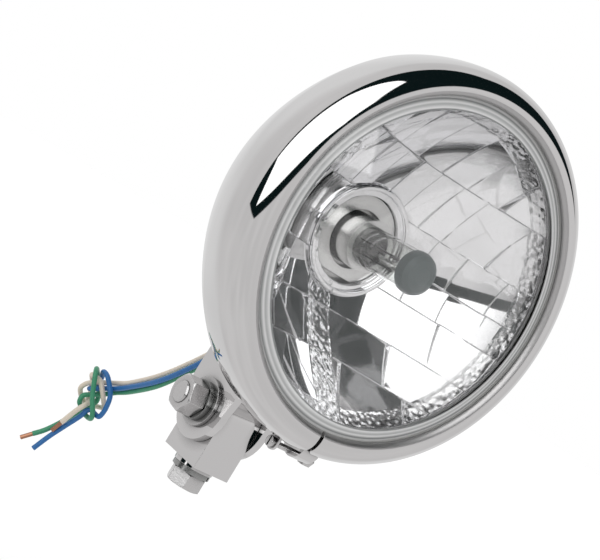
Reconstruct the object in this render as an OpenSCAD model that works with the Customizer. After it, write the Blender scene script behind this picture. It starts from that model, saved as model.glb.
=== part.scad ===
// Round motorcycle headlight: a spun bowl with a split front ring, tilting on one cross bolt in a clevis.
// The mount seat is at z = 0, up is +Z and the lamp looks along -Y.

/* [Lamp] */
// Height of the lamp's axis above the mount seat
axis_h = 116; // [112:1:130]
// Distance of the ring's lip in front of the mount bolt
lip_out = 60; // [50:1:70]
// Radius of the ring's front lip, half the standard lamp unit
lip_r = 73; // [70:0.5:76]
// Depth of the ring where it is widest
ring_deep = 12; // [8:0.5:14]
// How far the ring bulges out beyond its lip
ring_bulge = 9.8; // [8:0.1:12]
// Sheet thickness of the ring
ring_wall = 1.2; // [0.8:0.1:1.5]

/* [Shell] */
// Depth behind the lip where the bowl's curve begins
shell_step = 26; // [24:0.5:30]
// Depth of the bowl's curve from there to its back
shell_deep = 82; // [70:1:95]
// Radius of the bowl where its curve begins
shell_r = 80.8; // [78:0.1:84]
// Sheet thickness of the bowl
shell_wall = 1.5; // [1:0.1:2]

/* [Mount] */
// Height of the tilt bolt above the mount seat
pivot_h = 26; // [24:0.5:28]
// Width of the mount block between the cheeks
block_w = 19; // [16:0.5:20]
// Depth of the mount block, front to back
block_d = 26; // [22:0.5:28]
// Radius of the cheeks' round ends
cheek_r = 16; // [14:0.5:17]
// Thickness of each cheek
cheek_w = 3.4; // [3:0.1:4]
// Radius of both mount bolts
bolt_r = 4.76; // [4:0.01:5]
// Width across the flats of the bolt heads and the nut
bolt_flats = 14.3; // [13:0.1:16]

/* [Lamp unit] */
// Radius of curvature of the lens's dome
lens_dome = 260; // [200:5:320]
// Thickness of the lens
lens_wall = 3; // [2.5:0.1:4]
// Depth of the middle of the reflector's bowl
mirror_deep = 49.5; // [46:0.5:52]
// Radius of curvature of each mirror facet
facet_dome = 130; // [90:5:300]
// Radius of the bulb's glass
bulb_r = 8.6; // [8:0.1:9]

/* [Wires] */
// Outside diameter of the wires
wire_d = 2.4; // [2:0.1:2.4]

/* [Hidden] */
lip_y = -lip_out;
round_n = 96;
small_n = 48;
dish_n = 240;
neck_r = shell_r - 0.9;
neck_front = 9.2;
ring_r = lip_r + ring_bulge;
ring_back = shell_step - 0.5;
ring_fall = 1.6;
bore_r = bolt_r + 0.06;
cheek_in = block_w / 2 + 0.2;
cheek_out = cheek_in + cheek_w;
slot_top = 14.5;
washer_in = cheek_out + 0.1;
washer_w = 1.5;
spring_w = 2.4;
seat_boss_r = 9;
seat_boss_h = 2;
head_h = 6.8;
nut_h = 8.2;
mirror_focus = 110;
mirror_rim = 68;
mirror_hole = 19.2;
mirror_back = 4.6;
collar_back = 50;
lens_rise = 6.4;
glass_r = lip_r - 0.5;
copper_r = 1.05;

// The lamp's own axes: x across, y down, z from the lip towards the back
module lamp() {
  translate([0, lip_y, axis_h]) rotate([-90, 0, 0]) children();
}

// A turned piece from its half section, as [radius, depth] points
module turned(section, n = round_n) {
  rotate_extrude($fn = n) polygon(section);
}

module tube(r_out, r_in, from, to, n = round_n) {
  translate([0, 0, from]) difference() {
    cylinder(r = r_out, h = to - from, $fn = n);
    translate([0, 0, -1]) cylinder(r = r_in, h = to - from + 2, $fn = n);
  }
}

// A rod along X between two places
module cross_rod(r, from, to, n = small_n) {
  translate([from, 0, 0]) rotate([0, 90, 0]) cylinder(r = r, h = to - from, $fn = n);
}

// Radius of the bowl at a depth, for its outside or for its inside
function bowl_r(d, skin = 0) =
  (shell_r - skin) * pow(max(0, 1 - pow(max(0, d - shell_step) / (shell_deep - skin), 1.15)), 0.6);

// Depths from the step to the back, closer together towards the back
function bowl_depths(skin = 0, n = 22) =
  [for (i = [0:n]) shell_step + (shell_deep - skin) * (1 - pow(1 - i / n, 1.7))];

// Radius of the ring at a depth, less the sheet on the inside
function ring_at(d, skin = 0) =
  d < ring_deep
    ? lip_r + (ring_bulge - skin) * pow(1 - pow(1 - (d - skin) / (ring_deep - skin), 2.5), 0.4)
    : ring_r - skin - ring_fall * pow((d - ring_deep) / (ring_back - ring_deep), 2);

module bowl_solid(skin = 0) {
  turned(concat([[0, 0], [bowl_r(0, skin), 0]], [for (d = bowl_depths(skin)) [bowl_r(d, skin), d]]));
}

// Where the wires leave the bowl, and the way they leave it
exit_y = 20;
exit_z = axis_h - bowl_r(exit_y - lip_y);
exit_turn = 136.8;
module wire_exit() {
  translate([0, exit_y, exit_z]) rotate([-exit_turn, 0, 0]) children();
}

module shell() {
  color("silver") difference() {
    lamp() turned(concat(
      [[neck_r - shell_wall, neck_front], [neck_r, neck_front], [neck_r, shell_step - 0.4]],
      [for (d = bowl_depths()) [bowl_r(d), d]],
      [for (i = [22:-1:0]) let (d = bowl_depths(shell_wall)[i]) [bowl_r(d, shell_wall), d]],
      [[neck_r - shell_wall, shell_step]]));
    wire_exit() translate([0, 0, -8]) cylinder(r = grommet_neck, h = 16, $fn = small_n);
  }
}

// The clevis: two cheeks and the saddle that joins them under the bowl
foot_front = -19;
foot_back = 15;
module shell_foot() {
  color("silver") difference() {
    for (s = [-1, 1]) translate([0, 0, pivot_h]) rotate([90, 0, 90]) {
      translate([0, 0, s > 0 ? cheek_in : -cheek_out]) linear_extrude(cheek_w) foot_side();
      translate([0, 0, -cheek_in - 0.01]) linear_extrude(2 * cheek_in + 0.02) foot_saddle();
    }
    translate([0, 0, pivot_h]) cross_rod(bore_r, -20, 20);
    lamp() bowl_solid();
  }
}
module foot_side() {
  circle(r = cheek_r, $fn = round_n);
  polygon([[-cheek_r, 0], [foot_front, slot_top + 1], [foot_front, slot_top + 9], [foot_back, 50],
           [foot_back + 1, 16], [cheek_r, 0]]);
}
module foot_saddle() {
  polygon([[foot_front, slot_top], [foot_front, slot_top + 9], [foot_back, 50], [foot_back + 1, 16],
           [foot_back + 1, slot_top]]);
}

// The ring's split at the bottom: an ear folded down on its left, a thick lug on its right, and the clamp
// screw that draws them together
split_lip = 3;
ear_left = -7;
ear_right = 8.2;
ear_w = 1.2;
ear_d = 14.5;
ear_r = 3;
ear_y = ring_r + 2.4;
ear_top = ring_r - 2.1;
lug_r = 7;
lug_mid = [ear_y - 5.1, 13.2];
screw_r = 1.3;
module trim_ring() {
  n = 14;
  out = [for (i = [0:n]) let (d = ring_deep * (1 - cos(90 * i / n))) [ring_at(d), d]];
  inner = [for (i = [n:-1:1]) let (d = ring_wall + (ring_deep - ring_wall) * (1 - cos(90 * i / n)))
           [ring_at(d, ring_wall), d]];
  color("silver") difference() {
    lamp() {
      difference() {
        turned(concat(
          [[lip_r - 1.2, 2.4], [lip_r - 2.2, 2.4], [lip_r - 2.2, 1.7], [lip_r - 1.8, 0.9], [lip_r - 1, 0.25]],
          out, [for (d = [15, 18, 21, 24, ring_back]) [ring_at(d), d]],
          [for (d = [ring_back, 21, 17]) [ring_at(d, ring_wall), d]], inner));
        split_cut();
      }
      ear();
      lug();
    }
  }
}
module split_cut() {
  translate([0, 60, 0]) rotate([-90, 0, 0]) linear_extrude(40)
    polygon([[-split_lip / 2, 2], [-split_lip / 2, -3], [ear_left, -8], [ear_left, -30],
             [ear_right, -30], [ear_right, -8], [split_lip / 2, -3], [split_lip / 2, 2]]);
}
module ear() {
  from = ear_left - ear_w;
  difference() {
    union() {
      translate([0, ear_y, ear_d]) cross_rod(ear_r, from, ear_left);
      translate([from, ear_top, ear_d - ear_r]) cube([ear_w, ear_y - ear_top, 2 * ear_r]);
    }
    screw_hole();
  }
}
module lug() {
  difference() {
    translate([0, lug_mid[0], lug_mid[1]]) cross_rod(lug_r, split_lip / 2, ear_right + ear_w, round_n);
    translate([0, ear_top - 20, 0]) cube([20, 20, 40]);
    screw_hole();
  }
}
module screw_hole() {
  translate([0, ear_y, ear_d]) cross_rod(screw_r + 0.1, -20, 20);
}

screw_head = [2.3, 1.8];
nut_flats = 5.5;
nut_w = 4;
module ring_screw() {
  from = ear_left - ear_w;
  color("silver") lamp() translate([0, ear_y, ear_d]) difference() {
    union() {
      cross_rod(screw_r, from - 0.5, ear_right + ear_w + nut_w + 1);
      cross_rod(screw_head[0], from - screw_head[1], from);
    }
    translate([from - screw_head[1] - 1, -5, -0.4]) cube([1.8, 10, 0.8]);
  }
}

module ring_nut() {
  color("silver") lamp() translate([ear_right + ear_w, ear_y, ear_d]) rotate([0, 90, 0]) difference() {
    cylinder(d = nut_flats / cos(30), h = nut_w, $fn = 6);
    translate([0, 0, -1]) cylinder(r = screw_r, h = nut_w + 2, $fn = small_n);
  }
}

module lens() {
  mid = lens_dome - lens_rise;
  in_r = lens_dome - lens_wall;
  color([0.8, 0.85, 0.88, 0.35]) lamp() turned(concat(
    [for (r = [0, 8, 16, 24, 32, 40, 47, 54, 60, 66, lip_r - 2.4]) [r, mid - sqrt(pow(lens_dome, 2) - r * r)]],
    [[glass_r, 3.4], [glass_r, 7], [lip_r - 4.2, 7]],
    [for (r = [lip_r - 5, 62, 56, 49, 41, 33, 25, 17, 8, 0]) [r, mid - sqrt(in_r * in_r - r * r)]]));
}

module lens_seal() {
  color("black") lamp() tube(lip_r + 0.2, lip_r - 2.3, 2.4, 3.37);
}

module retaining_ring() {
  color("gray") lamp() tube(neck_r - 0.4, lip_r - 4, 8.2, neck_front);
}

// The mirror: rectangular facets, each its own shallow dish, stepped where they meet
// Across every band of facets, the heights of its edges and the places of its seams
bands = [
  [-68, -46, [-68, -24, 12, 40, 68]],
  [-46, -30, [-68, -40, -5, 34, 68]],
  [-30, -12, [-68, -34, -10, 18, 44, 68]],
  [-12, 17.5, [-68, -56, -44, -31, 0, 31, 44, 57, 68]],
  [17.5, 41, [-68, -49, -32, -21, -10.5, 0, 10.5, 21.5, 32, 49, 68]],
  [41, 68, [-68, -34, -20, -6, 9, 22, 36, 68]]];

module reflector() {
  color("white") lamp() {
    difference() {
      intersection() {
        union() {
          for (band = bands) for (k = [0:len(band[2]) - 2]) facet(band[2][k], band[2][k + 1], -band[1], -band[0]);
        }
        cylinder(r = mirror_rim, h = 60, $fn = round_n);
      }
      turned(concat([[0, collar_back], [21.2, collar_back]],
        [for (r = [25:5:70]) [r, mirror_at(r) + mirror_back]], [[90, 20], [90, 80], [0, 80]]));
      translate([0, 0, 20]) cylinder(r = mirror_hole, h = 60, $fn = round_n);
    }
    tube(lip_r - 0.7, mirror_rim - 1, 7, 8.2);
    tube(mirror_hole + 3.8, mirror_hole, 44.4, collar_back);
    tube(mirror_hole + 4.6, mirror_hole + 2.6, 42.4, 47);
  }
}
function mirror_at(r) = mirror_deep - r * r / mirror_focus;

// One facet between two x and two y limits, dished about the mirror's own slope at its middle
module facet(x0, x1, y0, y1) {
  near_x = max(-54, min(54, (x0 + x1) / 2));
  near_y = max(-54, min(54, (y0 + y1) / 2));
  slope = [-2 * near_x / mirror_focus, -2 * near_y / mirror_focus];
  lean = sqrt(1 + slope * slope);
  foot = [near_x, near_y, mirror_at(norm([near_x, near_y])) - 0.6];
  to_mid = [slope[0], slope[1], -1] / lean;
  difference() {
    translate([x0, y0, 0]) cube([x1 - x0, y1 - y0, 60]);
    translate(foot + facet_dome * to_mid) sphere(r = facet_dome, $fn = dish_n);
  }
}

// The bulb, seated in the mirror's collar on its lugged flange
module bulb_base() {
  color("gray") lamp() difference() {
    union() {
      difference() {
        translate([0, 0, 46.5]) cylinder(r = mirror_hole - 0.3, h = 4.5, $fn = round_n);
        translate([-30, 16.6, 46]) cube([60, 10, 3.5]);
      }
      translate([0, 0, 50]) cylinder(r = mirror_hole + 2.1, h = 1.2, $fn = round_n);
      translate([0, 0, 36]) cylinder(r = 11.2, h = 14, $fn = round_n);
    }
    tube(12.8, 11.2, 46, 49.4);
    translate([0, 0, 35]) cylinder(r = bulb_r, h = 5, $fn = small_n);
  }
}

module bulb_glass() {
  color([0.85, 0.88, 0.9, 0.35]) lamp() turned([
    [0, 40], [bulb_r, 40], [bulb_r, 3.5], [bulb_r - 0.7, 1.6], [bulb_r - 2.4, 0.1], [bulb_r - 5, -0.8], [0, -1],
    [0, 0], [bulb_r - 5.2, 0.2], [bulb_r - 3, 1], [bulb_r - 1.6, 2.2], [bulb_r - 1, 3.9],
    [bulb_r - 1, 38], [0, 38]], small_n);
}

module bulb_cap() {
  skin = 0.3;
  color("darkslategray") lamp() turned([
    [0, -1 - skin], [bulb_r - 5, -0.8 - skin], [bulb_r - 2.2, 0.1 - skin], [bulb_r - 0.4, 1.4],
    [bulb_r + skin, 3.4], [bulb_r + skin, 5.5], [bulb_r, 5.5], [bulb_r, 3.5], [bulb_r - 0.7, 1.6],
    [bulb_r - 2.4, 0.1], [bulb_r - 5, -0.8], [0, -1]], small_n);
}

// The filaments, the cup under the front one and the wires that carry them
fil_y = -1.2;
cup_y = 3.6;
module bulb_shield() {
  color("gray") lamp() difference() {
    translate([0, -0.4, 0]) tube(cup_y + 0.4, cup_y, 16, 24, small_n);
    translate([-9, -9, 10]) cube([18, 9.6, 20]);
  }
}

module filament(from, to) {
  lamp() translate([0, fil_y, from]) cylinder(r = 0.75, h = to - from, $fn = 24);
}
module low_filament() {
  color("gray") filament(17, 21.6);
}
module high_filament() {
  color("gray") filament(26, 30.6);
}

module filament_posts() {
  r = 0.4;
  color("gray") lamp() {
    for (post = [[-4.8, fil_y, 16.6], [4.8, fil_y, 31], [0, cup_y + r, 16.6]])
      translate(post) cylinder(r = r, h = 38 - post[2], $fn = 24);
    translate([0, fil_y, 16.6]) cross_rod(r, -4.8, 0, 24);
    translate([0, fil_y, 31]) cross_rod(r, 0, 4.8, 24);
    translate([0, fil_y, 25.6]) rotate([-90, 0, 0]) cylinder(r = r, h = cup_y + r - fil_y, $fn = 24);
    translate([0, fil_y, 22]) rotate([-90, 0, 0]) cylinder(r = r, h = cup_y - 0.45 - fil_y, $fn = 24);
  }
}

module bulb_insulator() {
  color("dimgray") lamp() translate([0, 0, 51.2]) cylinder(r = 10.5, h = 6.8, $fn = small_n);
}

// Three blades: one across the top and one down each side
blade = [8, 0.8, 12];
blade_places = [[0, -7.5, 0], [7.5, 1, 90], [-7.5, 1, 90]];
module blades(grow = 0) {
  for (p = blade_places) translate([p[0], p[1], 58]) rotate([0, 0, p[2]])
    translate([-blade[0] / 2 - grow, -blade[1] / 2 - grow, 0]) cube([blade[0] + 2 * grow, blade[1] + 2 * grow,
                                                                     blade[2] + grow]);
}
module bulb_terminals() {
  color("silver") lamp() blades();
}

module bulb_clip() {
  r = 0.7;
  x = 12;
  y = 18.6;
  d = 51.2 + r;
  color("silver") lamp() {
    for (s = [-1, 1]) {
      translate([s * x, -y, d]) rotate([-90, 0, 0]) cylinder(r = r, h = 2 * y, $fn = 24);
      for (e = [-1, 1]) translate([s * x, e * y, d]) sphere(r = r, $fn = 24);
      translate([s * x, -y, 50]) cylinder(r = r, h = d - 50, $fn = 24);
    }
    translate([0, y, d]) cross_rod(r, -x, x, 24);
  }
}

module bulb_boot() {
  color("black") lamp() turned([
    [mirror_hole + 3.8, 49.5], [24.8, 49.5], [24.8, 53], [23.6, 54.6], [13.2, 54.6], [12.6, 57.4], [10.5, 57.4],
    [10.5, 53], [mirror_hole + 3.8, 53]]);
}

module plug_socket() {
  color("black") lamp() difference() {
    translate([-13, -12, 59.5]) cube([26, 22, 18.5]);
    blades(0.2);
  }
}

// The rubber sleeve in the bowl's wall that the wires come out through
grommet_neck = 5.1;
grommet_hole = 3.5;
module wire_grommet() {
  color("black") wire_exit() turned([
    [grommet_hole, -4.4], [6.6, -4.4], [7, -3.8], [7, -2.4], [grommet_neck, -2.4], [grommet_neck, 0.6],
    [7, 0.6], [7, 1.8], [6.4, 2.6], [grommet_hole, 2.6]], small_n);
}

// A round wire through a list of places, with a section of eight sides
function unit(v) = v / norm(v);
function way(p, i) = unit(p[min(i + 1, len(p) - 1)] - p[max(i - 1, 0)]);
function side_of(p, i) =
  i == 0 ? unit(cross(way(p, 0), [0.4, 0.5, 1]))
         : let (s = side_of(p, i - 1), t = way(p, i)) unit(s - (s * t) * t);
module wire(p, r, sides = 8) {
  last = len(p) - 1;
  rings = [for (i = [0:last]) let (t = way(p, i), s = side_of(p, i), c = cross(t, s))
           for (k = [0:sides - 1]) p[i] + r * (cos(360 * k / sides) * s + sin(360 * k / sides) * c)];
  polyhedron(rings, concat(
    [[for (k = [0:sides - 1]) k]],
    [for (i = [0:last - 1], k = [0:sides - 1]) let (a = i * sides + k, b = i * sides + (k + 1) % sides)
      [a, a + sides, b]],
    [for (i = [0:last - 1], k = [0:sides - 1]) let (a = i * sides + k, b = i * sides + (k + 1) % sides)
      [b, a + sides, b + sides]],
    [[for (k = [sides - 1:-1:0]) last * sides + k]]));
}

white_route = [
  [0, 17.5, 75.5], [0, 23.9, 69], [0.5, 26.5, 55.5], [1.5, 31.5, 44], [1.5, 46, 29], [1.5, 59, 18],
  [2.5, 76, 7.5], [2.5, 84.5, 3.5], [-0.5, 90, 0], [-4, 93.5, -3], [-5.5, 95.5, -5.5], [-4.5, 98, -9],
  [0.5, 98.5, -13], [6, 97, -13], [7, 91, -11], [5, 85.5, -10], [1.5, 84, -7.5], [-2, 85, -3],
  [-4, 88, 0.5], [-5, 92.5, 0.5], [-4.5, 96, 0], [0.5, 100.5, -3.5], [2, 99.5, -8],
  [-0.5, 94.5, -10.5], [-1.5, 90.5, -11], [-4.5, 87.5, -12.5], [-6.5, 87.5, -15.5], [-8, 88.5, -20],
  [-9, 90, -25]];
blue_route = [
  [-1.3, 16, 74], [-1.4, 22.2, 67.4], [-1.4, 24, 53.5], [-0.5, 27.5, 42.5], [-0.5, 41.5, 27.5],
  [-0.5, 54.5, 16.5], [1.5, 72.5, 6.5], [2, 82, 1.5], [-0.5, 87.5, -2], [-3.5, 90, -4.5], [-3, 94, -6],
  [0.5, 95.5, -4], [0, 94.5, 1], [-3.5, 90.5, 4.5], [-4, 85.5, 4.5], [-2, 83, 1.5], [0.5, 81, -3],
  [1.5, 80.5, -9], [1.5, 81.5, -13.5], [1, 84.5, -14], [-0.5, 87, -13.5], [-2, 88, -15],
  [-3, 88.5, -18.5], [-5.5, 90, -24.5], [-9, 92.5, -33.5], [-12, 94.5, -42.5]];
green_route = [
  [1.3, 16, 74], [1.4, 22.2, 67.4], [1.9, 22.8, 52.5], [2, 29, 41], [2, 43.5, 26], [2, 56, 14.5],
  [4.5, 75, 4], [4.5, 84, -0.5], [2, 88.5, -4.5], [-2.5, 91.5, -8], [-5, 92.5, -10], [-5, 92.5, -13],
  [-2.5, 93.5, -15], [0, 93, -17], [1, 88, -17.5], [-0.5, 83.5, -16], [-2.5, 83, -12.5],
  [-5, 85, -7.5], [-7, 86.5, -2], [-8, 88.5, 2.5], [-6, 93, 4], [-2, 97, 2], [3, 99, -2.5],
  [4, 95.5, -7], [3, 92.5, -10], [1.5, 94, -13.5], [0.5, 96.5, -18], [-3, 95.5, -22],
  [-7.5, 94.5, -27.5], [-11, 96, -33], [-14, 98, -37]];

module white_wire() {
  color("antiquewhite") wire(white_route, wire_d / 2);
}
module blue_wire() {
  color("steelblue") wire(blue_route, wire_d / 2);
}
module green_wire() {
  color("seagreen") wire(green_route, wire_d / 2);
}

// The bared copper at the ends of two of the wires
module stripped_ends() {
  color("peru") for (p = [white_route, green_route]) {
    end = p[len(p) - 1];
    t = way(p, len(p) - 1);
    wire([end, end + 3 * t, end + 6 * t], copper_r);
  }
}

// The wires inside the bowl, from the plug to the sleeve
lead_routes = [
  [[0, 18, 113], [0, 20, 113], [0, 23.5, 109], [0, 23.5, 101], [0, 19, 92], [0, 15.5, 84]],
  [[-7, 18, 110], [-7, 20, 110], [-6.5, 23, 105], [-5.5, 20, 96], [-4, 15, 88], [-2.5, 12.5, 80.5]],
  [[7, 18, 110], [7, 20, 110], [6.5, 23, 105], [5.5, 20, 96], [4, 15, 88], [2.5, 12.5, 80.5]]];
module inner_leads() {
  outer = [white_route, blue_route, green_route];
  for (i = [0:2]) {
    p = outer[i];
    color("dimgray") wire(concat(lead_routes[i], [p[0] - 2 * way(p, 0), p[0]]), wire_d / 2, 6);
  }
}

// The mount block, with a cross bore for the tilt bolt and a threaded hole up into its foot
block_round = block_d / 2;
module mount_block() {
  color("silver") difference() {
    union() {
      translate([0, 0, pivot_h]) cross_rod(block_round, -block_w / 2, block_w / 2, round_n);
      translate([-block_w / 2, -block_d / 2, seat_boss_h]) cube([block_w, block_d, pivot_h - seat_boss_h]);
      cylinder(r = seat_boss_r, h = seat_boss_h + 1, $fn = round_n);
    }
    translate([0, 0, pivot_h]) cross_rod(bore_r, -20, 20);
    translate([0, 0, -1]) cylinder(r = bolt_r, h = 17, $fn = small_n);
  }
}

// A hexagon with its corners turned off on both faces, standing on z = 0
module hex(h) {
  intersection() {
    cylinder(d = bolt_flats / cos(30), h = h, $fn = 6);
    turned([[0, 0], [bolt_flats / 2, 0], [bolt_flats / 2 + 1.3, 0.7], [bolt_flats / 2 + 1.3, h - 0.7],
            [bolt_flats / 2, h], [0, h]]);
  }
}
module split_washer(h) {
  difference() {
    cylinder(r = seat_boss_r - 0.35, h = h, $fn = round_n);
    translate([0, 0, -1]) cylinder(r = bolt_r + 0.1, h = h + 2, $fn = small_n);
    translate([0, 0, h / 2]) rotate([0, 30, 0]) translate([0, -0.6, -5]) cube([12, 1.2, 10]);
  }
}

module mount_bolt() {
  color("silver") {
    translate([0, 0, -spring_w - head_h]) hex(head_h);
    translate([0, 0, -spring_w - 1]) cylinder(r = bolt_r, h = 15.4 + spring_w, $fn = small_n);
  }
}
module mount_lock_washer() {
  color("gray") translate([0, 0, -spring_w]) rotate([0, 0, -60]) split_washer(spring_w);
}

module pivot_bolt() {
  from = washer_in + washer_w;
  end = from + spring_w + nut_h + 0.9;
  color("silver") translate([0, 0, pivot_h]) {
    translate([from, 0, 0]) rotate([0, 90, 0]) rotate([0, 0, 12]) hex(6.2);
    cross_rod(bolt_r, 0.6 - end, from + 1);
    translate([-end, 0, 0]) rotate([0, 90, 0]) cylinder(r1 = bolt_r - 0.6, r2 = bolt_r, h = 0.6, $fn = small_n);
  }
}
module pivot_nut() {
  from = washer_in + washer_w + spring_w;
  color("silver") translate([-from, 0, pivot_h]) rotate([0, -90, 0]) rotate([0, 0, 20]) difference() {
    hex(nut_h);
    translate([0, 0, -1]) cylinder(r = bolt_r, h = nut_h + 2, $fn = small_n);
  }
}
module pivot_lock_washer() {
  from = washer_in + washer_w;
  color("gray") translate([-from, 0, pivot_h]) rotate([0, -90, 0]) rotate([0, 0, 60]) split_washer(spring_w);
}
module pivot_washers() {
  color("silver") for (s = [-1, 1]) translate([0, 0, pivot_h]) rotate([0, s * 90, 0])
    tube(10.8, bolt_r + 0.1, washer_in, washer_in + washer_w);
}

shell();
shell_foot();
trim_ring();
ring_screw();
ring_nut();
lens();
lens_seal();
retaining_ring();
reflector();
bulb_base();
bulb_glass();
bulb_cap();
bulb_shield();
low_filament();
high_filament();
filament_posts();
bulb_insulator();
bulb_terminals();
bulb_clip();
bulb_boot();
plug_socket();
wire_grommet();
inner_leads();
white_wire();
blue_wire();
green_wire();
stripped_ends();
mount_block();
mount_bolt();
mount_lock_washer();
pivot_bolt();
pivot_nut();
pivot_lock_washer();
pivot_washers();
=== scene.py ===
import math

import bmesh
import bpy
from mathutils import Matrix, Vector


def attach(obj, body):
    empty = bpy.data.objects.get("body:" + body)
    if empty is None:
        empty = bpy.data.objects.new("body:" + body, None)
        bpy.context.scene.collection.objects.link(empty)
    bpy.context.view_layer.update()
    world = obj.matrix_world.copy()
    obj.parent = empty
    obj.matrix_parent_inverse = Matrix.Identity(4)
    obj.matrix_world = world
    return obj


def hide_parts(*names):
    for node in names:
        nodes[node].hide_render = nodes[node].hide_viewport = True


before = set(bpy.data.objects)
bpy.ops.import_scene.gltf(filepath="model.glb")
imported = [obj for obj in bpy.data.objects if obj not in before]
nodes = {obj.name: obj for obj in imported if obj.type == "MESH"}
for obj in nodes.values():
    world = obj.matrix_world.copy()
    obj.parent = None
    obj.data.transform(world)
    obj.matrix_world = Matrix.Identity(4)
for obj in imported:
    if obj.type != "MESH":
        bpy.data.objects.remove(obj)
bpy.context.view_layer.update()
scene = bpy.context.scene

# The lamp's front lip along Y and its axis along Z, in mm
mm = 0.001
lipY = -60.0
axisH = 116.0


def linear(code):
    parts = [int(code[i : i + 2], 16) / 255 for i in (1, 3, 5)]
    return [c / 12.92 if c <= 0.04045 else ((c + 0.055) / 1.055) ** 2.4 for c in parts] + [1.0]


def addNode(tree, kind, inputs=None, **settings):
    node = tree.nodes.new(kind)
    for key, value in settings.items():
        setattr(node, key, value)
    for key, value in (inputs or {}).items():
        if isinstance(value, bpy.types.NodeSocket):
            tree.links.new(value, node.inputs[key])
        else:
            node.inputs[key].default_value = value
    return node


# Camera, from the fit to the photograph
cameraFit = {
    "place": (-0.3953, -0.5104, 0.1022),
    "right": (0.68239, -0.51118, 0.52253),
    "up": (-0.40429, 0.33162, 0.85239),
    "forward": (0.60901, 0.79292, -0.01963),
    "lens": 93.04,
    "sensor": 36.0,
}
cameraData = bpy.data.cameras.new("camera")
camera = bpy.data.objects.new("camera", cameraData)
scene.collection.objects.link(camera)
scene.camera = camera
cameraData.lens = cameraFit["lens"]
cameraData.sensor_width = cameraFit["sensor"]
cameraData.sensor_fit = "HORIZONTAL"
cameraData.clip_start = 0.01
cameraData.clip_end = 20
axes = Matrix([cameraFit["right"], cameraFit["up"], [-v for v in cameraFit["forward"]]]).transposed()
camera.matrix_world = Matrix.Translation(cameraFit["place"]) @ axes.to_4x4()
print("stage: camera")

# Cords: the same routes as the solids, in metres
routes = {
    "white": [
        (0, 17.5, 75.5), (0, 23.9, 69), (0.5, 26.5, 55.5), (1.5, 31.5, 44), (1.5, 46, 29),
        (1.5, 59, 18), (2.5, 76, 7.5), (2.5, 84.5, 3.5), (-0.5, 90, 0), (-4, 93.5, -3),
        (-5.5, 95.5, -5.5), (-4.5, 98, -9), (0.5, 98.5, -13), (6, 97, -13), (7, 91, -11),
        (5, 85.5, -10), (1.5, 84, -7.5), (-2, 85, -3), (-4, 88, 0.5), (-5, 92.5, 0.5), (-4.5, 96, 0),
        (0.5, 100.5, -3.5), (2, 99.5, -8), (-0.5, 94.5, -10.5), (-1.5, 90.5, -11), (-4.5, 87.5, -12.5),
        (-6.5, 87.5, -15.5), (-8, 88.5, -20), (-9, 90, -25)],
    "blue": [
        (-1.3, 16, 74), (-1.4, 22.2, 67.4), (-1.4, 24, 53.5), (-0.5, 27.5, 42.5), (-0.5, 41.5, 27.5),
        (-0.5, 54.5, 16.5), (1.5, 72.5, 6.5), (2, 82, 1.5), (-0.5, 87.5, -2), (-3.5, 90, -4.5),
        (-3, 94, -6), (0.5, 95.5, -4), (0, 94.5, 1), (-3.5, 90.5, 4.5), (-4, 85.5, 4.5), (-2, 83, 1.5),
        (0.5, 81, -3), (1.5, 80.5, -9), (1.5, 81.5, -13.5), (1, 84.5, -14), (-0.5, 87, -13.5),
        (-2, 88, -15), (-3, 88.5, -18.5), (-5.5, 90, -24.5), (-9, 92.5, -33.5), (-12, 94.5, -42.5)],
    "green": [
        (1.3, 16, 74), (1.4, 22.2, 67.4), (1.9, 22.8, 52.5), (2, 29, 41), (2, 43.5, 26), (2, 56, 14.5),
        (4.5, 75, 4), (4.5, 84, -0.5), (2, 88.5, -4.5), (-2.5, 91.5, -8), (-5, 92.5, -10),
        (-5, 92.5, -13), (-2.5, 93.5, -15), (0, 93, -17), (1, 88, -17.5), (-0.5, 83.5, -16),
        (-2.5, 83, -12.5), (-5, 85, -7.5), (-7, 86.5, -2), (-8, 88.5, 2.5), (-6, 93, 4), (-2, 97, 2),
        (3, 99, -2.5), (4, 95.5, -7), (3, 92.5, -10), (1.5, 94, -13.5), (0.5, 96.5, -18),
        (-3, 95.5, -22), (-7.5, 94.5, -27.5), (-11, 96, -33), (-14, 98, -37)],
}
cordFacts = {"diameter": 2.4, "steps": 6, "sides": 5}


def smoothPath(points, steps):
    ends = [2 * points[0] - points[1]] + points + [2 * points[-1] - points[-2]]
    path = []
    for i in range(1, len(ends) - 2):
        a, b, c, d = ends[i - 1 : i + 3]
        for k in range(steps):
            t = k / steps
            square, cube = 2 * a - 5 * b + 4 * c - d, 3 * b - a - 3 * c + d
            path.append((2 * b + (c - a) * t + square * t**2 + cube * t**3) / 2)
    return path + [points[-1]]


# A curve counts its own point radius in its box, so the tube's radius is set there
def makeCurve(name, points, radius, sides):
    data = bpy.data.curves.new(name, "CURVE")
    data.dimensions = "3D"
    data.bevel_depth = 1
    data.bevel_resolution = sides
    data.use_fill_caps = True
    spline = data.splines.new("POLY")
    spline.points.add(len(points) - 1)
    for point, place in zip(spline.points, points):
        point.co = (*place, 1)
        point.radius = radius
    spline.use_smooth = True
    obj = bpy.data.objects.new(name, data)
    scene.collection.objects.link(obj)
    return obj


cords = {}
for colour, route in routes.items():
    path = smoothPath([Vector(p) * mm for p in route], cordFacts["steps"])
    cord = makeCurve(colour + "Cord", path, cordFacts["diameter"] / 2 * mm, cordFacts["sides"])
    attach(cord, "head")
    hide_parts(colour + "_wire")
    cords[colour] = cord
print("stage: cords")


def newMaterial(name):
    material = bpy.data.materials.new(name)
    material.use_nodes = True
    tree = material.node_tree
    tree.nodes.clear()
    shader = addNode(tree, "ShaderNodeBsdfPrincipled")
    output = addNode(tree, "ShaderNodeOutputMaterial")
    tree.links.new(shader.outputs["BSDF"], output.inputs["Surface"])
    return material, tree, shader


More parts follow.
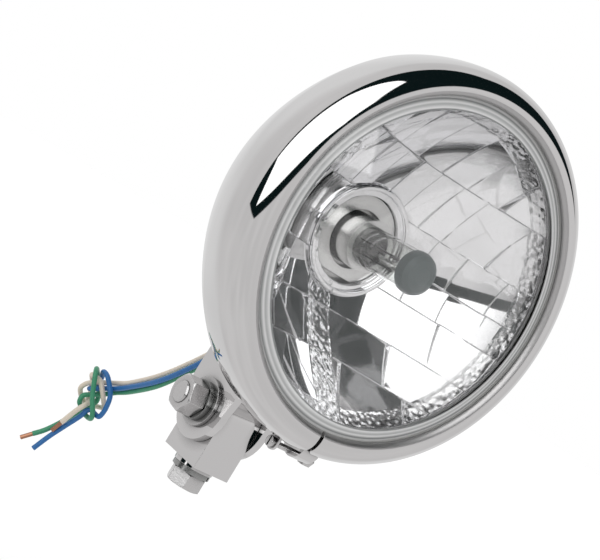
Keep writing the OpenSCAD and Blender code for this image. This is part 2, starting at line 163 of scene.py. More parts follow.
# Painted shade: each metal's colour is darkened where two surfaces meet, over a few mm
paintedShadeReach = 0.005


def metalMaterial(name, code, roughness, bump, scale, bevel, paintedShadePower=1.4):
    material, tree, shader = newMaterial(name)
    shader.inputs["Metallic"].default_value = 1.0
    # Painted shade in creases: the base colour is multiplied by how closed in each point is
    near = addNode(tree, "ShaderNodeAmbientOcclusion", {"Distance": paintedShadeReach}, samples=4)
    paintedShade = addNode(tree, "ShaderNodeMath", {0: near.outputs["AO"], 1: paintedShadePower}, operation="POWER")
    shadedColour = addNode(tree, "ShaderNodeVectorMath", {0: linear(code)[:3], 1: paintedShade.outputs["Value"]},
                   operation="MULTIPLY")
    tree.links.new(shadedColour.outputs["Vector"], shader.inputs["Base Color"])
    coords = addNode(tree, "ShaderNodeTexCoord")
    noise = addNode(tree, "ShaderNodeTexNoise", {"Vector": coords.outputs["Object"], "Scale": scale, "Detail": 3.0})
    spread = addNode(tree, "ShaderNodeMapRange", {"Value": noise.outputs["Fac"], "To Min": roughness * 0.7,
                                                  "To Max": roughness * 1.4})
    tree.links.new(spread.outputs["Result"], shader.inputs["Roughness"])
    edge = addNode(tree, "ShaderNodeBevel", {"Radius": bevel}, samples=4)
    relief = addNode(tree, "ShaderNodeBump", {"Height": noise.outputs["Fac"], "Strength": 0.2, "Distance": bump,
                                              "Normal": edge.outputs["Normal"]})
    tree.links.new(relief.outputs["Normal"], shader.inputs["Normal"])
    return material


def plainMaterial(name, code, roughness, bump, scale, spread=0.12):
    material, tree, shader = newMaterial(name)
    coords = addNode(tree, "ShaderNodeTexCoord")
    noise = addNode(tree, "ShaderNodeTexNoise", {"Vector": coords.outputs["Object"], "Scale": scale, "Detail": 4.0})
    base = linear(code)
    ramp = addNode(tree, "ShaderNodeValToRGB", {"Fac": noise.outputs["Fac"]})
    ramp.color_ramp.elements[0].color = [c * (1 - spread) for c in base[:3]] + [1]
    ramp.color_ramp.elements[1].color = [min(1, c * (1 + spread)) for c in base[:3]] + [1]
    tree.links.new(ramp.outputs["Color"], shader.inputs["Base Color"])
    shader.inputs["Roughness"].default_value = roughness
    relief = addNode(tree, "ShaderNodeBump", {"Height": noise.outputs["Fac"], "Strength": 0.3, "Distance": bump})
    tree.links.new(relief.outputs["Normal"], shader.inputs["Normal"])
    return material


def glassMaterial(name, code, roughness, shineScale=1.6):
    # Clear glass seen as one thin pane: light goes straight through, and both its faces shine at once
    material, tree, shader = newMaterial(name)
    tree.nodes.remove(shader)
    output = next(n for n in tree.nodes if n.type == "OUTPUT_MATERIAL")
    clear = addNode(tree, "ShaderNodeBsdfTransparent", {"Color": linear(code)})
    shine = addNode(tree, "ShaderNodeBsdfGlossy", {"Roughness": roughness})
    fresnel = addNode(tree, "ShaderNodeFresnel", {"IOR": 1.5})
    geometry = addNode(tree, "ShaderNodeNewGeometry")
    front = addNode(tree, "ShaderNodeMath", {0: 1.0, 1: geometry.outputs["Backfacing"]}, operation="SUBTRACT")
    scaled = addNode(tree, "ShaderNodeMath", {0: fresnel.outputs["Fac"], 1: shineScale}, operation="MULTIPLY")
    seen = addNode(tree, "ShaderNodeMath", {0: scaled.outputs["Value"], 1: front.outputs["Value"]},
                   operation="MULTIPLY", use_clamp=True)
    blend = addNode(tree, "ShaderNodeMixShader", {"Fac": seen.outputs["Value"]})
    tree.links.new(clear.outputs["BSDF"], blend.inputs[1])
    tree.links.new(shine.outputs["BSDF"], blend.inputs[2])
    tree.links.new(blend.outputs["Shader"], output.inputs["Surface"])
    return material


# The mirror is clean, cast with pebbles round its rim and in a strip low down: places in mm, relief in metres
pebbleFacts = {"rim": 62.4, "blend": 1.0, "cell": 2.1, "relief": 0.0004, "lowX": -3.0, "lowZ": -12.0, "lean": -0.32,
               "strip": 13.0, "seam": 0.5, "rough": (0.03, 0.2)}


def mirrorMaterial():
    p = pebbleFacts
    material, tree, shader = newMaterial("vapourMirror")
    shader.inputs["Base Color"].default_value = linear("#FBFBFC")
    shader.inputs["Metallic"].default_value = 1.0
    coords = addNode(tree, "ShaderNodeTexCoord").outputs["Object"]
    place = addNode(tree, "ShaderNodeVectorMath", {0: coords, 1: (0, 0, -axisH * mm)}, operation="ADD")
    flat = addNode(tree, "ShaderNodeVectorMath", {0: place.outputs["Vector"], 1: (1, 0, 1)}, operation="MULTIPLY")
    radius = addNode(tree, "ShaderNodeVectorMath", {0: flat.outputs["Vector"]}, operation="LENGTH")
    rimMask = addNode(tree, "ShaderNodeMapRange", {"Value": radius.outputs["Value"], "From Min": p["rim"] * mm,
                                                   "From Max": (p["rim"] + p["blend"]) * mm})
    # Across to the left of a leaning line, below a level
    leaning = addNode(tree, "ShaderNodeVectorMath", {0: flat.outputs["Vector"], 1: (-1, 0, p["lean"])},
                      operation="DOT_PRODUCT")
    start = (-p["lowX"] + p["lean"] * p["lowZ"]) * mm
    leftMask = addNode(tree, "ShaderNodeMapRange", {"Value": leaning.outputs["Value"], "From Min": start,
                                                    "From Max": start + p["blend"] * mm})
    parts = addNode(tree, "ShaderNodeSeparateXYZ", {"Vector": flat.outputs["Vector"]})
    lowMask = addNode(tree, "ShaderNodeMapRange", {"Value": parts.outputs["Z"],
                                                   "From Min": (p["lowZ"] + p["blend"]) * mm,
                                                   "From Max": p["lowZ"] * mm})
    rightMask = addNode(tree, "ShaderNodeMapRange", {"Value": leaning.outputs["Value"],
                                                     "From Min": start + (p["strip"] + p["blend"]) * mm,
                                                     "From Max": start + p["strip"] * mm})
    strip = addNode(tree, "ShaderNodeMath", {0: leftMask.outputs["Result"], 1: rightMask.outputs["Result"]},
                    operation="MINIMUM")
    corner = addNode(tree, "ShaderNodeMath", {0: strip.outputs["Value"], 1: lowMask.outputs["Result"]},
                     operation="MINIMUM")
    mask = addNode(tree, "ShaderNodeMath", {0: corner.outputs["Value"], 1: rimMask.outputs["Result"]},
                   operation="MAXIMUM")
    rough = addNode(tree, "ShaderNodeMapRange", {"Value": mask.outputs["Value"], "To Min": p["rough"][0],
                                                 "To Max": p["rough"][1]})
    tree.links.new(rough.outputs["Result"], shader.inputs["Roughness"])
    pebbles = addNode(tree, "ShaderNodeTexVoronoi", {"Vector": coords, "Scale": 1 / (p["cell"] * mm)},
                      feature="SMOOTH_F1")
    height = addNode(tree, "ShaderNodeMath", {0: pebbles.outputs["Distance"], 1: mask.outputs["Value"]},
                     operation="MULTIPLY")
    seam = addNode(tree, "ShaderNodeBevel", {"Radius": p["seam"] * mm}, samples=4)
    relief = addNode(tree, "ShaderNodeBump", {"Height": height.outputs["Value"], "Strength": 1.0,
                                              "Distance": p["relief"], "Normal": seam.outputs["Normal"]})
    tree.links.new(relief.outputs["Normal"], shader.inputs["Normal"])
    return material


# The rim's painted highlights and shade, from the inside out: each band starts at a radius in mm and has a grey that
# stands in for a bright or dark line of light
rimFacts = {"frost": 0.85, "inner": 64.0, "outer": 72.0, "bands": [
    (64.0, "#F4F4F4"), (65.7, "#8F9191"), (66.2, "#F2F2F2"), (67.6, "#C6C7C7"), (68.3, "#F6F6F6"),
    (69.6, "#9C9E9E"), (70.1, "#DDDDDD")]}


def edgeGlassMaterial(name):
    # Glass that turns over into its thick rim: most of it gathers light and looks frosted, and its rings of grey are
    # painted highlights and shade
    r = rimFacts
    material = glassMaterial(name, "#FEFEFD", 0.02)
    tree = material.node_tree
    output = next(n for n in tree.nodes if n.type == "OUTPUT_MATERIAL")
    clear = output.inputs["Surface"].links[0].from_socket
    coords = addNode(tree, "ShaderNodeTexCoord").outputs["Object"]
    flat = addNode(tree, "ShaderNodeVectorMath", {0: coords, 1: (1, 0, 1), 2: (0, 0, -axisH * mm)},
                   operation="MULTIPLY_ADD")
    radius = addNode(tree, "ShaderNodeVectorMath", {0: flat.outputs["Vector"]}, operation="LENGTH")
    across = addNode(tree, "ShaderNodeMapRange", {"Value": radius.outputs["Value"], "From Min": r["inner"] * mm,
                                                  "From Max": r["outer"] * mm})
    # Painted bright and dark lines of light across the rim, by radius
    ramp = addNode(tree, "ShaderNodeValToRGB", {"Fac": across.outputs["Result"]})
    ramp.color_ramp.interpolation = "EASE"
    while len(ramp.color_ramp.elements) < len(r["bands"]):
        ramp.color_ramp.elements.new(0.5)
    for element, (start, code) in zip(ramp.color_ramp.elements, r["bands"]):
        element.position = (start - r["inner"]) / (r["outer"] - r["inner"])
        element.color = linear(code)
    paintedRimLight = addNode(tree, "ShaderNodeBsdfPrincipled", {"Base Color": ramp.outputs["Color"], "Roughness": 0.15})
    blend = addNode(tree, "ShaderNodeMixShader", {"Fac": r["frost"], 1: clear, 2: paintedRimLight.outputs["BSDF"]})
    tree.links.new(blend.outputs["Shader"], output.inputs["Surface"])
    return material


materials = {
    # Show chrome on pressed steel
    "chrome": metalMaterial("polishedChrome", "#DBDADA", 0.03, 0.00001, 60, 0.0003, 0.8),
    # The same plate, brushed along the lip's roll
    "satinChrome": metalMaterial("brushedLip", "#BCBBBB", 0.36, 0.00003, 900, 0.0003, 0.8),
    # Chrome plate on machined steel hardware
    "boltChrome": metalMaterial("platedHardware", "#D2D1D1", 0.17, 0.00008, 700, 0.0005),
    # Bright zinc plate on spring steel
    "zinc": metalMaterial("zincPlate", "#A6A7A6", 0.2, 0.00005, 500, 0.0003),
    # Aluminium vapour coat on moulded plastic
    "mirror": mirrorMaterial(),
    # Drawn steel of the bulb's base
    "bulbSteel": metalMaterial("bulbSteel", "#E9E9E8", 0.22, 0.00004, 400, 0.0002, 0.3),
    # Tungsten wire
    "tungsten": metalMaterial("tungsten", "#77777A", 0.3, 0.00001, 900, 0.0001),
    # Clear pressed lamp glass
    "lensGlass": glassMaterial("lensGlass", "#FEFEFE", 0.01, 3.4),
    # The same pressed glass, at its thick rim, with painted highlight and shade lines
    "lensEdge": edgeGlassMaterial("lensEdge"),
    # Hard bulb glass
    "bulbGlass": glassMaterial("bulbGlass", "#FCFDFC", 0.01, 2.2),
    # Dark heat-proof coat on the bulb's tip
    "bulbCoat": plainMaterial("bulbCoat", "#5F6A6A", 0.42, 0.00002, 800, 0.05),
    # Moulded black rubber
    "rubber": plainMaterial("mouldedRubber", "#151515", 0.7, 0.00005, 900, 0.2),
    # Grey silicone, cut from sheet
    "silicone": plainMaterial("greySilicone", "#A8A8A6", 0.5, 0.00003, 700, 0.06),
    # Moulded thermoset plastic
    "plug": plainMaterial("mouldedPlastic", "#1B1B1B", 0.5, 0.00004, 600, 0.15),
    # Fired ceramic
    "ceramic": plainMaterial("firedCeramic", "#8E8A82", 0.8, 0.00005, 700, 0.1),
    # Extruded wire insulation
    "wire_white": plainMaterial("whiteInsulation", "#E8DCCB", 0.42, 0.00003, 500, 0.06),
    "wire_blue": plainMaterial("blueInsulation", "#2B6FB0", 0.4, 0.00003, 500, 0.1),
    "wire_green": plainMaterial("greenInsulation", "#3F9670", 0.4, 0.00003, 500, 0.1),
    "lead": plainMaterial("greyInsulation", "#5A5A5A", 0.45, 0.00003, 500, 0.1),
    # Bare stranded copper
    "copper": metalMaterial("strandedCopper", "#B08168", 0.35, 0.0001, 900, 0.0001),
}

nodeMaterials = {
    "shell": "chrome", "shell_foot": "chrome", "trim_ring": "chrome", "ring_screw": "boltChrome",
    "ring_nut": "boltChrome", "lens": "lensGlass", "lens_seal": "silicone", "retaining_ring": "zinc",
    "reflector": "mirror", "bulb_base": "bulbSteel", "bulb_glass": "bulbGlass", "bulb_cap": "bulbCoat",
    "bulb_shield": "bulbSteel", "low_filament": "tungsten", "high_filament": "tungsten",
    "filament_posts": "tungsten", "bulb_insulator": "ceramic", "bulb_terminals": "zinc", "bulb_clip": "zinc",
    "bulb_boot": "rubber", "plug_socket": "plug", "wire_grommet": "rubber", "inner_leads": "lead",
    "stripped_ends": "copper", "mount_block": "chrome", "mount_bolt": "boltChrome", "mount_lock_washer": "zinc",
    "pivot_bolt": "boltChrome", "pivot_nut": "boltChrome", "pivot_lock_washer": "zinc",
    "pivot_washers": "boltChrome",
}


def paint(obj, material):
    obj.data.materials.clear()
    obj.data.materials.append(materials[material])


for name, material in nodeMaterials.items():
    paint(nodes[name], material)
for colour, cord in cords.items():
    paint(cord, "wire_" + colour)
print("stage: materials")


def makeMesh(name, vertices, faces, material, body, replaced=(), sharp=30):
    mesh = bpy.data.meshes.new(name)
    mesh.from_pydata(vertices, [], faces)
    mesh.validate()
    mesh.update()
    mesh.shade_smooth()
    mesh.set_sharp_from_angle(angle=math.radians(sharp))
    obj = bpy.data.objects.new(name, mesh)
    scene.collection.objects.link(obj)
    mesh.materials.append(materials[material])
    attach(obj, body)
    if replaced:
        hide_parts(*replaced)
    return obj


# The radius in mm of a profile's point that lies on the axis
onAxis = 1e-7


# A turned piece about the lamp's axis: profile is a closed loop of (radius, depth) in mm
def lathe(name, profile, material, replaced=(), turns=240, sharp=30):
    rows = len(profile)
    vertices = []
    for i in range(turns):
        angle = 2 * math.pi * i / turns
        for radius, depth in profile:
            vertices.append((radius * math.sin(angle) * mm, (lipY + depth) * mm,
                             (axisH + radius * math.cos(angle)) * mm))
    faces = []
    for i in range(turns):
        a, b = i * rows, (i + 1) % turns * rows
        for k in range(rows):
            m = (k + 1) % rows
            if max(profile[k][0], profile[m][0]) > onAxis:
                faces.append([a + k, a + m, b + m, b + k])
    return makeMesh(name, vertices, faces, material, "head", replaced, sharp)


def finishBy(obj, material, inner, outer):
    # Another finish on the faces that lie between two radii in mm
    mesh = obj.data
    mesh.materials.append(materials[material])
    for face in mesh.polygons:
        radii = [math.hypot(mesh.vertices[i].co.x, mesh.vertices[i].co.z - axisH * mm) for i in face.vertices]
        if min(radii) > inner * mm and max(radii) < outer * mm:
            face.material_index = 1


def blockFaces(count):
    # Two caps and the sides between them
    caps = [list(range(count)), list(range(2 * count - 1, count - 1, -1))]
    return caps + [[(k + 1) % count, k, count + k, count + (k + 1) % count] for k in range(count)]


# A straight-sided block between two heights, from an outline of (across, depth) points in mm
def prism(outline, low, high):
    vertices = [(x * mm, (lipY + d) * mm, (axisH - h) * mm) for h in (low, high) for x, d in outline]
    return vertices, blockFaces(len(outline))


# The same along X: an outline of (down, depth) points between two places across
def crossPrism(outline, left, right):
    vertices = [(x * mm, (lipY + d) * mm, (axisH - h) * mm) for x in (left, right) for h, d in outline]
    return vertices, blockFaces(len(outline))


def asOutward(vertices, faces):
    work = bmesh.new()
    placed = [work.verts.new(v) for v in vertices]
    for face in faces:
        work.faces.new([placed[i] for i in face])
    bmesh.ops.recalc_face_normals(work, faces=work.faces)
    return work


def applied(obj):
    view = bpy.context.evaluated_depsgraph_get()
    mesh = bpy.data.meshes.new_from_object(obj.evaluated_get(view))
    obj.modifiers.clear()
    obj.data = mesh


def cutBy(obj, vertices, faces):
    work = asOutward(vertices, faces)
    mesh = bpy.data.meshes.new("cutter")
    work.to_mesh(mesh)
    work.free()
    cutter = bpy.data.objects.new("cutter", mesh)
    scene.collection.objects.link(cutter)
    cut = obj.modifiers.new("cut", "BOOLEAN")
    cut.object = cutter
    cut.operation = "DIFFERENCE"
    cut.solver = "EXACT"
    applied(obj)
    bpy.data.objects.remove(cutter)


def dowel(place, axis, radius, reach, sides):
    # A round bar along an axis, both ways from a place
    turn = Vector((0, 0, 1)).rotation_difference(axis)
    rounds = [2 * math.pi * i / sides for i in range(sides)]
    vertices = [place + turn @ Vector((radius * math.cos(t), radius * math.sin(t), end)) for end in (-reach, reach)
                for t in rounds]
    return vertices, blockFaces(sides)


def addBlocks(obj, blocks, sharp=30):
    work = bmesh.new()
    work.from_mesh(obj.data)
    for vertices, faces in blocks:
        part = asOutward(vertices, faces)
        mesh = bpy.data.meshes.new("part")
        part.to_mesh(mesh)
        part.free()
        work.from_mesh(mesh)
        bpy.data.meshes.remove(mesh)
    work.to_mesh(obj.data)
    work.free()
    obj.data.shade_smooth()
    obj.data.set_sharp_from_angle(angle=math.radians(sharp))


def arc(middle, radius, start, end, count):
    turns = [math.radians(start + (end - start) * i / count) for i in range(count + 1)]
    return [(middle[0] + radius * math.cos(t), middle[1] + radius * math.sin(t)) for t in turns]


# The bowl, smoother than its solid
shellShape = {"step": 26.0, "deep": 82.0, "radius": 80.8, "wall": 1.5, "neck": 79.9, "front": 9.2, "lap": 0.4,
              "fullness": 1.15, "roundness": 0.6, "crowding": 1.7}


def bowlRadius(depth, skin=0.0):
    s = shellShape
    t = max(0.0, depth - s["step"]) / (s["deep"] - skin)
    return (s["radius"] - skin) * max(0.0, 1 - t ** s["fullness"]) ** s["roundness"]


def bowlDepths(skin, count):
    s = shellShape
    return [s["step"] + (s["deep"] - skin) * (1 - (1 - i / count) ** s["crowding"]) for i in range(count + 1)]


def bowlProfile():
    s = shellShape
    outer = [(max(onAxis, bowlRadius(d)), d) for d in bowlDepths(0, 90)]
    inner = [(max(onAxis, bowlRadius(d, s["wall"])), d) for d in reversed(bowlDepths(s["wall"], 40))]
    inside = s["neck"] - s["wall"]
    return [(inside, s["front"]), (s["neck"], s["front"]), (s["neck"], s["step"] - s["lap"])] + outer + inner + [
        (inside, s["step"])]


shell = lathe("shellSkin", bowlProfile(), "chrome", ["shell"], turns=288)

# The hole that the wires leave by, in mm and degrees
wireHole = {"y": 20.0, "turn": 136.8, "radius": 5.1, "reach": 8.0, "sides": 64}
holeTurn = math.radians(wireHole["turn"])
holePlace = Vector((0, wireHole["y"], axisH - bowlRadius(wireHole["y"] - lipY))) * mm
cutBy(shell, *dowel(holePlace, Vector((0, math.sin(holeTurn), math.cos(holeTurn))), wireHole["radius"] * mm,
                    wireHole["reach"] * mm, wireHole["sides"]))

# The ring, rolled over at its lip
ringShape = {"lip": 73.0, "bulge": 9.8, "deep": 12.0, "wall": 1.2, "back": 25.5, "fall": 1.6, "bow": 2.5,
             "inside": (22, 18, 15), "brushed": 73.4,
             "roll": [(-1.2, 2.4), (-2.0, 2.4), (-2.2, 2.2), (-2.22, 1.8), (-2.05, 1.3), (-1.7, 0.8), (-1.2, 0.35),
                      (-0.6, 0.08)]}


def ringRadius(depth, skin=0.0):
    s = ringShape
    if depth < s["deep"]:
        t = (depth - skin) / (s["deep"] - skin)
        return s["lip"] + (s["bulge"] - skin) * (1 - (1 - t) ** s["bow"]) ** (1 / s["bow"])
    return s["lip"] + s["bulge"] - skin - s["fall"] * ((depth - s["deep"]) / (s["back"] - s["deep"])) ** 2


def eased(part):
    # From 0 to 1, closely spaced at the start
    return 1 - math.cos(math.pi / 2 * part)


def ringProfile():
    s = ringShape
    roll = [(s["lip"] + r, d) for r, d in s["roll"]]
    outer = [s["deep"] * eased(i / 40) for i in range(41)]
    back = [s["deep"] + (s["back"] - s["deep"]) * i / 12 for i in range(1, 13)]
    front = [s["wall"] + (s["deep"] - s["wall"]) * eased(i / 20) for i in range(20, 0, -1)]
    inner = [s["back"], *s["inside"]] + front
    return roll + [(ringRadius(d), d) for d in outer + back] + [(ringRadius(d, s["wall"]), d) for d in inner]


# The ring's split at the bottom, with a lug on its right and a folded ear on its left, in mm
clampShape = {"gap": 1.8, "left": -7.0, "right": 8.2, "sheet": 1.2, "depth": 14.5, "round": 3.0, "down": 85.2,
              "top": 80.7, "lug": 7.0, "lugMiddle": (80.1, 13.2), "cutFrom": 60, "cutTo": 100, "front": -2,
              "neck": 3, "shoulder": 8, "end": 30}


def splitOutline():
    c = clampShape
    half = c["gap"] / 2
    return [(-half, c["front"]), (half, c["front"]), (half, c["neck"]), (c["right"], c["shoulder"]),
            (c["right"], c["end"]), (c["left"], c["end"]), (c["left"], c["shoulder"]), (-half, c["neck"])]


def lugOutline():
    c = clampShape
    reach = math.degrees(math.asin((c["lugMiddle"][0] - c["top"]) / c["lug"]))
    return arc(c["lugMiddle"], c["lug"], -90 - reach, 90 + reach, 40)


def earOutline():
    c = clampShape
    return [(c["top"], c["depth"] - c["round"])] + arc((c["down"], c["depth"]), c["round"], -90, 90, 20) + [
        (c["top"], c["depth"] + c["round"])]


ring = lathe("ringSkin", ringProfile(), "chrome", ["trim_ring"], turns=360)
cutBy(ring, *prism(splitOutline(), clampShape["cutFrom"], clampShape["cutTo"]))
addBlocks(ring, [crossPrism(lugOutline(), clampShape["gap"] / 2, clampShape["right"] + clampShape["sheet"]),
                 crossPrism(earOutline(), clampShape["left"] - clampShape["sheet"], clampShape["left"])])
finishBy(ring, "satinChrome", 0, ringShape["brushed"])

# The lens: a dome that turns back into a stepped rim, its parts as radii and depths in mm
lensShape = {"dome": 260.0, "apex": -6.4, "wall": 3.0, "edge": 65.2, "face": 70.6, "bore": 68.0,
             "rim": [(72.5, 3.4), (72.5, 7), (68.8, 7)]}


def lensProfile():
    s = lensShape
    middle = s["dome"] + s["apex"]

    def domed(radius, end):
        places = [end * i / 40 for i in range(41)]
        return [(max(onAxis, r), middle - math.sqrt(radius**2 - r**2)) for r in places]

    return domed(s["dome"], s["face"]) + s["rim"] + domed(s["dome"] - s["wall"], s["bore"])[::-1]


lens = lathe("lensSkin", lensProfile(), "lensGlass", ["lens"])
finishBy(lens, "lensEdge", lensShape["edge"], max(r for r, d in lensShape["rim"]) + 1)
print("stage: turned skins")

# The mirror: rows of facets, each a shallow dish about the bowl's own slope at its middle
mirrorShape = {
    "deep": 49.5, "focus": 110.0, "rim": 68.0, "rimGap": 0.3, "hole": 19.2, "holeGap": 0.05, "lift": 0.6,
    "limit": 54.0, "step": 0.4, "nearest": 6.5, "skin": 0.35, "sharp": 24,
}
# Its body behind the facets, from the seat at the rim round to the collar at the bulb
mirrorBack = {
    "offset": 4.6, "sheet": 0.7,
    "seat": [(67.2, 7.0), (72.3, 7.0), (72.3, 8.2), (68.2, 8.2)],
    "outer": (67.9, 64, 60, 55, 50, 45, 40, 35, 30, 25),
    "collar": [(21.2, 50.0), (19.2, 50.0), (19.2, 44.6), (19.5, 44.4), (21.6, 44.4), (21.8, 44.1), (21.8, 42.8),
               (22.1, 42.4), (23.4, 42.4), (23.8, 42.9), (23.8, 47)],
    "inner": (23.4, 30, 35, 40, 45, 50, 55, 60, 64, 66.9),
}
# Each row from the top down: its lowest and highest place, its dish radius and its seams, in mm
mirrorRows = [
    (41, 68, 90, [-68, -34, -20, -6, 9, 22, 36, 68]),
    (17.5, 41, 90, [-68, -49, -32, -21, -10.5, 0, 10.5, 21.5, 32, 49, 68]),
    (1, 17.5, 62, [-68, -56, -44, -31, 0, 31, 43, 57, 68]),
    (-12, 1, 62, [-68, -56, -44, -31, 0, 31, 45, 58, 68]),
    (-30, -12, 110, [-68, -34, -10, 18, 47, 68]),
    (-46, -30, 110, [-68, -40, -5, 32, 68]),
    (-68, -46, 110, [-68, -24, 12, 40, 68]),
]


def mirrorDepth(radius):
    return mirrorShape["deep"] - radius**2 / mirrorShape["focus"]


def facetDish(low, high, dish, left, right, step):
    m = mirrorShape
    midX, midZ = [max(-m["limit"], min(m["limit"], v)) for v in ((left + right) / 2, (low + high) / 2)]
    slope = Vector((-2 * midX / m["focus"], -2 * midZ / m["focus"], -1)).normalized()
    foot = Vector((midX, midZ, mirrorDepth(math.hypot(midX, midZ)) - m["lift"] + step))
    middle = foot + dish * slope

    def depth(x, z):
        return middle.z + math.sqrt(max(0, dish**2 - (x - middle.x) ** 2 - (z - middle.y) ** 2))

    return depth


def gridLines(marks):
    reach = int(mirrorShape["rim"])
    return sorted(set(range(-reach, reach + 1)) | set(marks))


# Points nearer than this, in metres, are one
weld = 0.00001


def mirrorFront():
    m = mirrorShape
    xs = gridLines([x for row in mirrorRows for x in row[3]])
    zs = gridLines([z for row in mirrorRows for z in row[:2]])
    work = bmesh.new()
    edges = {}

    def place(x, z, depth):
        radius = math.hypot(x, z)
        held = max(m["hole"] + m["holeGap"], min(m["rim"] - m["rimGap"], radius))
        if radius > 0:
            x, z = x * held / radius, z * held / radius
        return work.verts.new((x * mm, (lipY + max(m["nearest"], depth(x, z))) * mm, (axisH + z) * mm))

    for row, (low, high, dish, seams) in enumerate(mirrorRows):
        for column, (left, right) in enumerate(zip(seams, seams[1:])):
            depth = facetDish(low, high, dish, left, right, (row + column) % 2 * m["step"])
            ownX = [x for x in xs if left <= x <= right]
            ownZ = [z for z in zs if low <= z <= high]
            grid = {(x, z): place(x, z, depth) for x in ownX for z in ownZ}
            for x0, x1 in zip(ownX, ownX[1:]):
                for z0, z1 in zip(ownZ, ownZ[1:]):
                    corners = [(x0, z0), (x1, z0), (x1, z1), (x0, z1)]
                    radii = [math.hypot(*c) for c in corners]
                    if min(radii) < m["rim"] and max(radii) > m["hole"]:
                        work.faces.new([grid[c] for c in corners])
            for side, runs in (((left, None), ownZ), ((right, None), ownZ), ((None, low), ownX), ((None, high), ownX)):
                for a, b in zip(runs, runs[1:]):
                    ends = [(side[0] if side[0] is not None else v, side[1] if side[1] is not None else v)
                            for v in (a, b)]
                    if all(m["hole"] < math.hypot(*e) < m["rim"] for e in ends):
                        edges.setdefault(tuple(ends), []).append([grid[e] for e in ends])
    for pairs in edges.values():
        if len(pairs) == 2:
            (a, b), (c, d) = pairs
            if max((a.co - c.co).length, (b.co - d.co).length) > weld / 10:
                work.faces.new([a, b, d, c])
    bmesh.ops.remove_doubles(work, verts=work.verts, dist=weld)
    bmesh.ops.dissolve_degenerate(work, edges=work.edges, dist=weld)
    return work


def mirrorBody():
    b = mirrorBack
    outer = [(r, mirrorDepth(r) + b["offset"]) for r in b["outer"]]
    inner = [(r, mirrorDepth(r) + b["offset"] - b["sheet"]) for r in b["inner"]]
    return b["seat"] + outer + b["collar"] + inner


mirror = lathe("mirrorSkin", mirrorBody(), "mirror", ["reflector"], turns=192)
front = mirrorFront()
mirrorMesh = bpy.data.meshes.new("mirrorFront")
front.to_mesh(mirrorMesh)
front.free()
mirrorSheet = bpy.data.objects.new("mirrorSheet", mirrorMesh)
scene.collection.objects.link(mirrorSheet)
thick = mirrorSheet.modifiers.new("thick", "SOLIDIFY")
thick.thickness = mirrorShape["skin"] * mm
thick.offset = -1 if mirrorMesh.polygons[0].normal.y < 0 else 1
applied(mirrorSheet)
work = bmesh.new()
work.from_mesh(mirror.data)
work.from_mesh(mirrorSheet.data)
work.to_mesh(mirror.data)
work.free()
bpy.data.objects.remove(mirrorSheet)
mirror.data.shade_smooth()
mirror.data.set_sharp_from_angle(angle=math.radians(mirrorShape["sharp"]))
print("stage: mirror", len(mirror.data.polygons))

# Light: a pale tent, open behind the lamp, with a soft box above the camera in its black frame.
# Every edge is a plane through the tent: its normal along the photograph's right, up and viewer, and its offset
tent = {
    "frame": [(0.12, 0, 1, -0.07), (0.3, 1, 0, 0.17), (-1, 1, 0, 1.18), (0.325, 0.768, 0.222, 0),
              (1, 0, 0, 0.95)],
    "frameSide": (1, 0, 0.3, -0.85),
    "box": [(0, 0, 1, -0.24), (-0.35, 0, 1, -0.28), (0.3, 1, 0, 0.02), (-1, -0.17, 0, 0.8), (1, 0, 0, 0.72)],
    "back": (0, 0, -1, -0.47),
    "backSoft": 0.12,
    "plain": "#F2F2F2",
    "clean": "#FFFFFF",
    "wall": "#DDDCDC",
    "behind": "#E8E8E8",
    "black": "#0E1A1B",
    "boxLevel": 1.75,
    "soft": 0.012,
    "foldScale": 2.0,
    "foldRange": (0.35, 0.65),
    "folds": (0.945, 1.035),
}
world = bpy.data.worlds.new("studio")
scene.world = world
world.use_nodes = True
tree = world.node_tree
tree.nodes.clear()
coords = addNode(tree, "ShaderNodeTexCoord")
viewAxes = [Vector(cameraFit["right"]), Vector(cameraFit["up"]), -Vector(cameraFit["forward"])]


def halfSpace(plane):
    normal = sum((axis * part for axis, part in zip(viewAxes, plane)), Vector())
    dot = addNode(tree, "ShaderNodeVectorMath", {0: coords.outputs["Generated"], 1: normal}, operation="DOT_PRODUCT")
    return addNode(tree, "ShaderNodeMath", {0: dot.outputs["Value"], 1: plane[3]}, operation="ADD").outputs["Value"]


def inside(values, soft=tent["soft"]):
    least = values[0]
    for value in values[1:]:
        least = addNode(tree, "ShaderNodeMath", {0: least, 1: value}, operation="MINIMUM").outputs["Value"]
    return addNode(tree, "ShaderNodeMapRange", {"Value": least, "From Max": soft}).outputs["Result"]


def laidOver(under, over, mask):
    mix = addNode(tree, "ShaderNodeMix", {"Factor": mask}, data_type="RGBA")
    for socket, value in ((6, under), (7, over)):
        if isinstance(value, bpy.types.NodeSocket):
            tree.links.new(value, mix.inputs[socket])
        else:
            mix.inputs[socket].default_value = value
    return mix.outputs[2]


frameTop = addNode(tree, "ShaderNodeMath", {0: halfSpace(tent["frame"][0]), 1: halfSpace(tent["frameSide"])},
                   operation="MAXIMUM").outputs["Value"]
frameMask = inside([frameTop] + [halfSpace(plane) for plane in tent["frame"][1:]])
boxMask = inside([halfSpace(plane) for plane in tent["box"]])
backMask = inside([halfSpace(tent["back"])], tent["backSoft"])
walls = laidOver(linear(tent["wall"]), linear(tent["behind"]), backMask)
framed = laidOver(walls, linear(tent["black"]), frameMask)
boxLight = [tent["boxLevel"]] * 3 + [1.0]
cloth = addNode(tree, "ShaderNodeTexNoise", {"Vector": coords.outputs["Generated"], "Scale": tent["foldScale"],
                                            "Detail": 1.0})
folds = addNode(tree, "ShaderNodeMapRange", {"Value": cloth.outputs["Fac"], "From Min": tent["foldRange"][0],
                                            "From Max": tent["foldRange"][1],
                                            "To Min": tent["folds"][0], "To Max": tent["folds"][1]})
tentLight = addNode(tree, "ShaderNodeBackground", {"Color": laidOver(framed, boxLight, boxMask),
                                                   "Strength": folds.outputs["Result"]})
plainLight = addNode(tree, "ShaderNodeBackground", {"Color": linear(tent["plain"]), "Strength": 1.0})
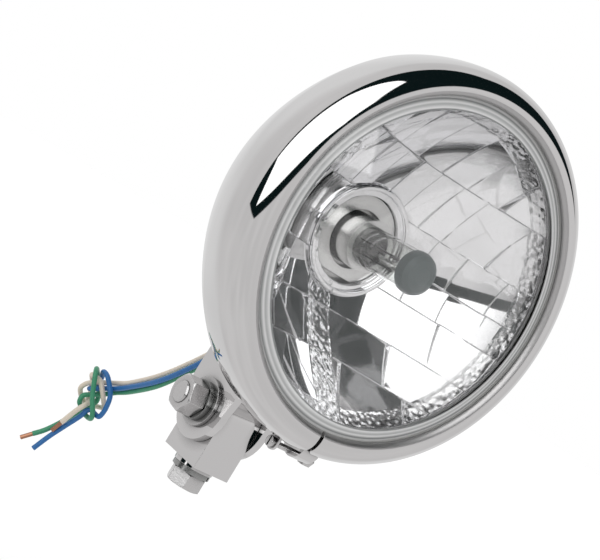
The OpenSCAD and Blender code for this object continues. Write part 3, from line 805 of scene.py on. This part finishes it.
whiteLight = addNode(tree, "ShaderNodeBackground", {"Color": linear(tent["clean"]), "Strength": 1.0})
pathNode = addNode(tree, "ShaderNodeLightPath")
mirrored = addNode(tree, "ShaderNodeMath", {0: pathNode.outputs["Is Glossy Ray"],
                                            1: pathNode.outputs["Is Transmission Ray"]}, operation="MAXIMUM")
lit = addNode(tree, "ShaderNodeMixShader", {"Fac": mirrored.outputs["Value"], 1: plainLight.outputs["Background"],
                                            2: tentLight.outputs["Background"]})
seen = addNode(tree, "ShaderNodeMixShader", {"Fac": pathNode.outputs["Is Camera Ray"], 1: lit.outputs["Shader"],
                                             2: whiteLight.outputs["Background"]})
addNode(tree, "ShaderNodeOutputWorld", {"Surface": seen.outputs["Shader"]})

# The floor: pale, white where the camera sees it lit, and a little darker under the lamp
floorFacts = {"height": -0.11, "half": 6.0, "code": "#E7E7E7", "lift": 0.32}
floorMesh = bpy.data.meshes.new("floor")
half = floorFacts["half"]
floorMesh.from_pydata([(x, y, floorFacts["height"]) for x, y in ((-half, -half), (half, -half), (half, half),
                                                                 (-half, half))], [], [(0, 1, 2, 3)])
floor = bpy.data.objects.new("floor", floorMesh)
scene.collection.objects.link(floor)
floorMaterial = bpy.data.materials.new("paperFloor")
floorMaterial.use_nodes = True
tree = floorMaterial.node_tree
tree.nodes.clear()
matt = addNode(tree, "ShaderNodeBsdfDiffuse", {"Color": linear(floorFacts["code"])})
pathNode = addNode(tree, "ShaderNodeLightPath")
lift = addNode(tree, "ShaderNodeMath", {0: pathNode.outputs["Is Camera Ray"], 1: floorFacts["lift"]},
               operation="MULTIPLY")
glow = addNode(tree, "ShaderNodeEmission", {"Color": linear(tent["clean"]), "Strength": lift.outputs["Value"]})
both = addNode(tree, "ShaderNodeAddShader", {0: matt.outputs["BSDF"], 1: glow.outputs["Emission"]})
addNode(tree, "ShaderNodeOutputMaterial", {"Surface": both.outputs["Shader"]})
floorMesh.materials.append(floorMaterial)
floor.visible_glossy = False
print("stage: light and floor")

scene.view_settings.view_transform = "Standard"
scene.view_settings.look = "None"

bpy.context.view_layer.update()
